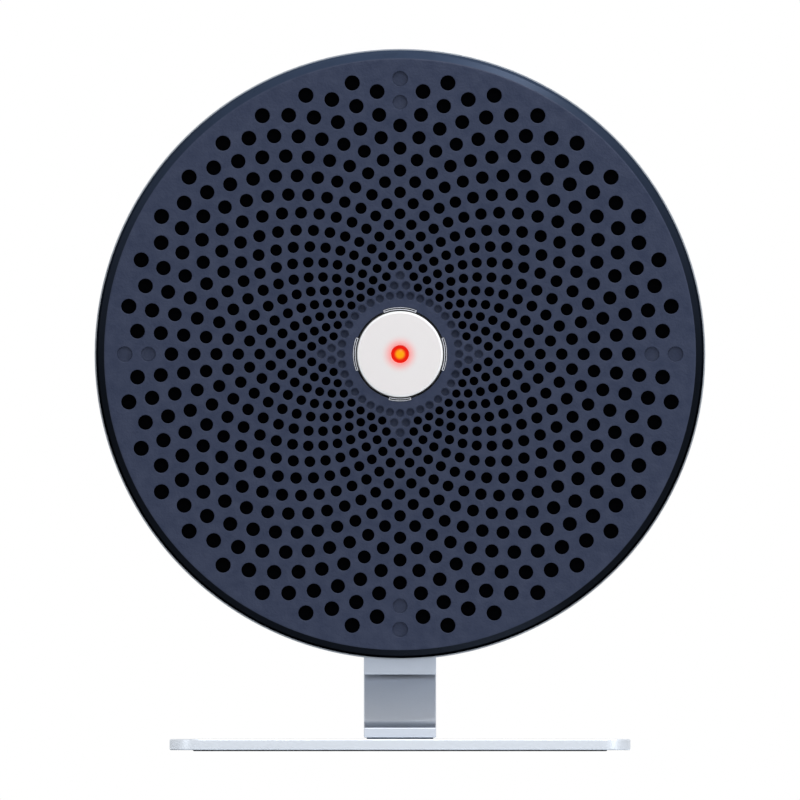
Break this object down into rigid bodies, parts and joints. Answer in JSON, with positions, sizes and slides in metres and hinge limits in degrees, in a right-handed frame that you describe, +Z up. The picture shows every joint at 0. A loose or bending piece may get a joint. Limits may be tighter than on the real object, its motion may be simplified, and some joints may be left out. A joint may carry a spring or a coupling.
{
  "type": "smart home hub",
  "caption": "Round smart home hub with a perforated face, a central push button with an indicator lamp and a tilting head on a slim metal stand.",
  "frame": {"origin": "on the table, under the middle of the base plate, at the underside of the anti-slip pad", "axes": "+Z up, the perforated face looks along -Y, +X to the right as seen from the front"},
  "size_m": [0.11, 0.06, 0.1265],
  "materials": {
    "grille_plastic": "fine spark-eroded texture, satin, dark slate blue",
    "silver_plastic": "satin silver paint",
    "black_plastic": "matt moulded",
    "gloss_black": "polished",
    "white_plastic": "satin, warm white, slightly translucent",
    "grey_plastic": "matt moulded",
    "ivory_plastic": "matt moulded",
    "red_lamp": "clear red, lit",
    "black_cloth": "fine woven, matt",
    "dark_foam": "open-cell foam",
    "circuit_board": "green solder mask",
    "flex_cable": "amber polyimide film",
    "capacitor_sleeve": "printed-free plastic sleeve",
    "pad_silicone": "soft silicone",
    "black_rubber": "matt",
    "grey_rubber": "matt",
    "spider_cloth": "resin-dipped cloth",
    "cone_paper": "pressed paper",
    "copper_coil": "enamelled copper wire",
    "magnet_ferrite": "sintered ferrite",
    "basket_steel": "black painted pressed steel",
    "screw_steel": "zinc-plated",
    "pin_steel": "ground",
    "washer_bronze": "spring bronze",
    "tin_can": "tin-plated",
    "bare_aluminium": "bare extruded",
    "satin_aluminium": "satin anodised",
    "satin_base": "satin nickel plated"
  },
  "bodies": {
    "stand": {"neck": "satin_aluminium", "foot_shim": "grey_rubber", "base_plate": "satin_base", "base_screws": "screw_steel", "anti_slip_pad": "black_rubber"},
    "head": {"front_grille": "grille_plastic", "acoustic_mesh": "black_cloth", "seal_ring": "dark_foam", "inner_frame": "black_plastic", "rear_shell": "silver_plastic", "grille_screws": "screw_steel", "housing_screws": "screw_steel", "button_guide": "gloss_black", "button_housing": "black_plastic", "button_screws": "screw_steel", "button_board": "circuit_board", "switch_bodies": "black_plastic", "lamp_spacer": "black_plastic", "indicator_lamp": "red_lamp", "button_flex": "flex_cable", "driver_basket": "basket_steel", "driver_top_plate": "screw_steel", "driver_magnet": "magnet_ferrite", "driver_yoke": "screw_steel", "driver_surround": "black_rubber", "driver_spider": "spider_cloth", "driver_screws": "screw_steel", "microphones": "tin_can", "microphone_boots": "black_rubber", "main_board": "circuit_board", "board_screws": "screw_steel", "flex_connector": "ivory_plastic", "processor": "black_plastic", "thermal_pad": "pad_silicone", "heat_spreader": "bare_aluminium", "radio_shield": "tin_can", "capacitors": "capacitor_sleeve", "antennas": "tin_can", "power_inlet": "tin_can", "reset_switch": "black_plastic", "hinge_block": "satin_aluminium", "hinge_screws": "screw_steel", "hinge_pin": "pin_steel", "friction_washers": "washer_bronze"},
    "button": {"button_cap": "white_plastic"},
    "plungers": {"switch_plungers": "white_plastic"},
    "diaphragm": {"driver_cone": "cone_paper", "dust_cap": "cone_paper", "voice_coil": "copper_coil"},
    "reset": {"reset_button": "grey_plastic"}
  },
  "joints": [
    {"name": "head_tilt", "type": "hinge", "parent": "stand", "child": "head", "pos_m": [0, 0.006, 0.0173], "axis": [-1, 0, 0], "range_deg": [-5, 12]},
    {"name": "button_press", "type": "slide", "parent": "head", "child": "button", "axis": [0, 1, 0], "range_m": [0, 0.0005], "stiffness_N_per_m": 3000, "springref_m": -0.0003},
    {"name": "plunger_press", "type": "slide", "parent": "head", "child": "plungers", "axis": [0, 1, 0], "range_m": [0, 0.0005]},
    {"name": "cone_stroke", "type": "slide", "parent": "head", "child": "diaphragm", "axis": [0, -1, 0], "range_m": [-0.001, 0.001], "stiffness_N_per_m": 1500, "deforming": ["driver_surround", "driver_spider"]},
    {"name": "reset_press", "type": "slide", "parent": "head", "child": "reset", "axis": [0, -1, 0], "range_m": [0, 0.0003], "stiffness_N_per_m": 4000, "springref_m": -0.0002}
  ],
  "couplings": [
    {"joint": "plunger_press", "follows": "button_press", "ratio": 1}
  ]
}
